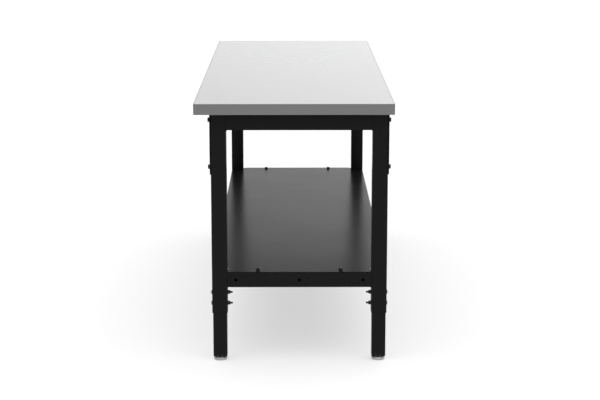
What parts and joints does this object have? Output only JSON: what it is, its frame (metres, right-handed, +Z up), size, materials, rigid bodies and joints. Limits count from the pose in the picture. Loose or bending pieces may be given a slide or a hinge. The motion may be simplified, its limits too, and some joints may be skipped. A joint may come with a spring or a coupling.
{
  "type": "assembly table",
  "caption": "Workshop assembly table with a laminate worktop, a steel frame with a lower shelf, telescoping clamp-bolt legs and screw levelling feet.",
  "frame": {"origin": "on the floor under the middle of the worktop, with the legs and feet at rest", "axes": "+Z up, +Y along the table's length towards the rear end, +X across its width to the right seen from the front end"},
  "size_m": [0.61, 1.829, 0.813],
  "materials": {
    "laminate_grey": "pale grey high-pressure laminate, fine matt texture",
    "chipboard": "raw chipboard, covered on every side",
    "backer_sheet": "brown resin-paper backing sheet",
    "black_coat": "black powder coat, satin, slight orange peel",
    "black_plated": "black oxide on steel fasteners",
    "black_plastic": "black moulded plastic",
    "zinc_plated": "bright zinc plate on steel"
  },
  "bodies": {
    "frame": {"worktop_laminate": "laminate_grey", "worktop_edge_band": "laminate_grey", "worktop_core": "chipboard", "worktop_backer": "backer_sheet", "outer_leg_front_left": "black_coat", "outer_leg_front_right": "black_coat", "outer_leg_rear_left": "black_coat", "outer_leg_rear_right": "black_coat", "upper_crossbar_front": "black_coat", "upper_crossbar_rear": "black_coat", "lower_crossbar_front": "black_coat", "lower_crossbar_rear": "black_coat", "side_rail_left": "black_coat", "side_rail_right": "black_coat", "shelf": "black_coat", "shelf_stiffener": "black_coat", "clamp_bolt_front_left_lower": "black_plated", "clamp_bolt_front_left_upper": "black_plated", "clamp_bolt_front_right_lower": "black_plated", "clamp_bolt_front_right_upper": "black_plated", "clamp_bolt_rear_left_lower": "black_plated", "clamp_bolt_rear_left_upper": "black_plated", "clamp_bolt_rear_right_lower": "black_plated", "clamp_bolt_rear_right_upper": "black_plated", "clamp_nut_front_left_lower": "black_plated", "clamp_nut_front_left_upper": "black_plated", "clamp_nut_front_right_lower": "black_plated", "clamp_nut_front_right_upper": "black_plated", "clamp_nut_rear_left_lower": "black_plated", "clamp_nut_rear_left_upper": "black_plated", "clamp_nut_rear_right_lower": "black_plated", "clamp_nut_rear_right_upper": "black_plated", "rail_bolt_front_left_lower": "black_plated", "rail_bolt_front_left_upper": "black_plated", "rail_bolt_front_right_lower": "black_plated", "rail_bolt_front_right_upper": "black_plated", "rail_bolt_rear_left_lower": "black_plated", "rail_bolt_rear_left_upper": "black_plated", "rail_bolt_rear_right_lower": "black_plated", "rail_bolt_rear_right_upper": "black_plated", "shelf_screw_front_left": "black_plated", "shelf_screw_front_right": "black_plated", "shelf_screw_rear_left": "black_plated", "shelf_screw_rear_right": "black_plated"},
    "leg_front_left": {"inner_leg_front_left": "black_coat", "leg_plug_front_left": "black_plastic"},
    "leg_front_right": {"inner_leg_front_right": "black_coat", "leg_plug_front_right": "black_plastic"},
    "leg_rear_left": {"inner_leg_rear_left": "black_coat", "leg_plug_rear_left": "black_plastic"},
    "leg_rear_right": {"inner_leg_rear_right": "black_coat", "leg_plug_rear_right": "black_plastic"},
    "foot_front_left": {"foot_base_front_left": "zinc_plated"},
    "foot_front_right": {"foot_base_front_right": "zinc_plated"},
    "foot_rear_left": {"foot_base_rear_left": "zinc_plated"},
    "foot_rear_right": {"foot_base_rear_right": "zinc_plated"},
    "stud_front_left": {"foot_stud_front_left": "zinc_plated"},
    "stud_front_right": {"foot_stud_front_right": "zinc_plated"},
    "stud_rear_left": {"foot_stud_rear_left": "zinc_plated"},
    "stud_rear_right": {"foot_stud_rear_right": "zinc_plated"}
  },
  "joints": [
    {"name": "leg_slide_front_left", "type": "slide", "parent": "frame", "child": "leg_front_left", "axis": [0, 0, -1], "range_m": [-0.0508, 0.1016]},
    {"name": "leg_slide_front_right", "type": "slide", "parent": "frame", "child": "leg_front_right", "axis": [0, 0, -1], "range_m": [-0.0508, 0.1016]},
    {"name": "leg_slide_rear_left", "type": "slide", "parent": "frame", "child": "leg_rear_left", "axis": [0, 0, -1], "range_m": [-0.0508, 0.1016]},
    {"name": "leg_slide_rear_right", "type": "slide", "parent": "frame", "child": "leg_rear_right", "axis": [0, 0, -1], "range_m": [-0.0508, 0.1016]},
    {"name": "foot_slide_front_left", "type": "slide", "parent": "leg_front_left", "child": "foot_front_left", "axis": [0, 0, -1], "range_m": [-0.00317, 0.01905]},
    {"name": "foot_slide_front_right", "type": "slide", "parent": "leg_front_right", "child": "foot_front_right", "axis": [0, 0, -1], "range_m": [-0.00317, 0.01905]},
    {"name": "foot_slide_rear_left", "type": "slide", "parent": "leg_rear_left", "child": "foot_rear_left", "axis": [0, 0, -1], "range_m": [-0.00317, 0.01905]},
    {"name": "foot_slide_rear_right", "type": "slide", "parent": "leg_rear_right", "child": "foot_rear_right", "axis": [0, 0, -1], "range_m": [-0.00317, 0.01905]},
    {"name": "stud_turn_front_left", "type": "hinge", "parent": "foot_front_left", "child": "stud_front_left", "pos_m": [-0.23075, -0.8651, 0], "axis": [0, 0, -1], "range_deg": [-720, 4320]},
    {"name": "stud_turn_front_right", "type": "hinge", "parent": "foot_front_right", "child": "stud_front_right", "pos_m": [0.26275, -0.8651, 0], "axis": [0, 0, -1], "range_deg": [-720, 4320]},
    {"name": "stud_turn_rear_left", "type": "hinge", "parent": "foot_rear_left", "child": "stud_rear_left", "pos_m": [-0.23075, 0.8651, 0], "axis": [0, 0, -1], "range_deg": [-720, 4320]},
    {"name": "stud_turn_rear_right", "type": "hinge", "parent": "foot_rear_right", "child": "stud_rear_right", "pos_m": [0.26275, 0.8651, 0], "axis": [0, 0, -1], "range_deg": [-720, 4320]}
  ],
  "couplings": [
    {"joint": "stud_turn_front_left", "follows": "foot_slide_front_left", "rad_per_m": 3957.9},
    {"joint": "stud_turn_front_right", "follows": "foot_slide_front_right", "rad_per_m": 3957.9},
    {"joint": "stud_turn_rear_left", "follows": "foot_slide_rear_left", "rad_per_m": 3957.9},
    {"joint": "stud_turn_rear_right", "follows": "foot_slide_rear_right", "rad_per_m": 3957.9}
  ]
}
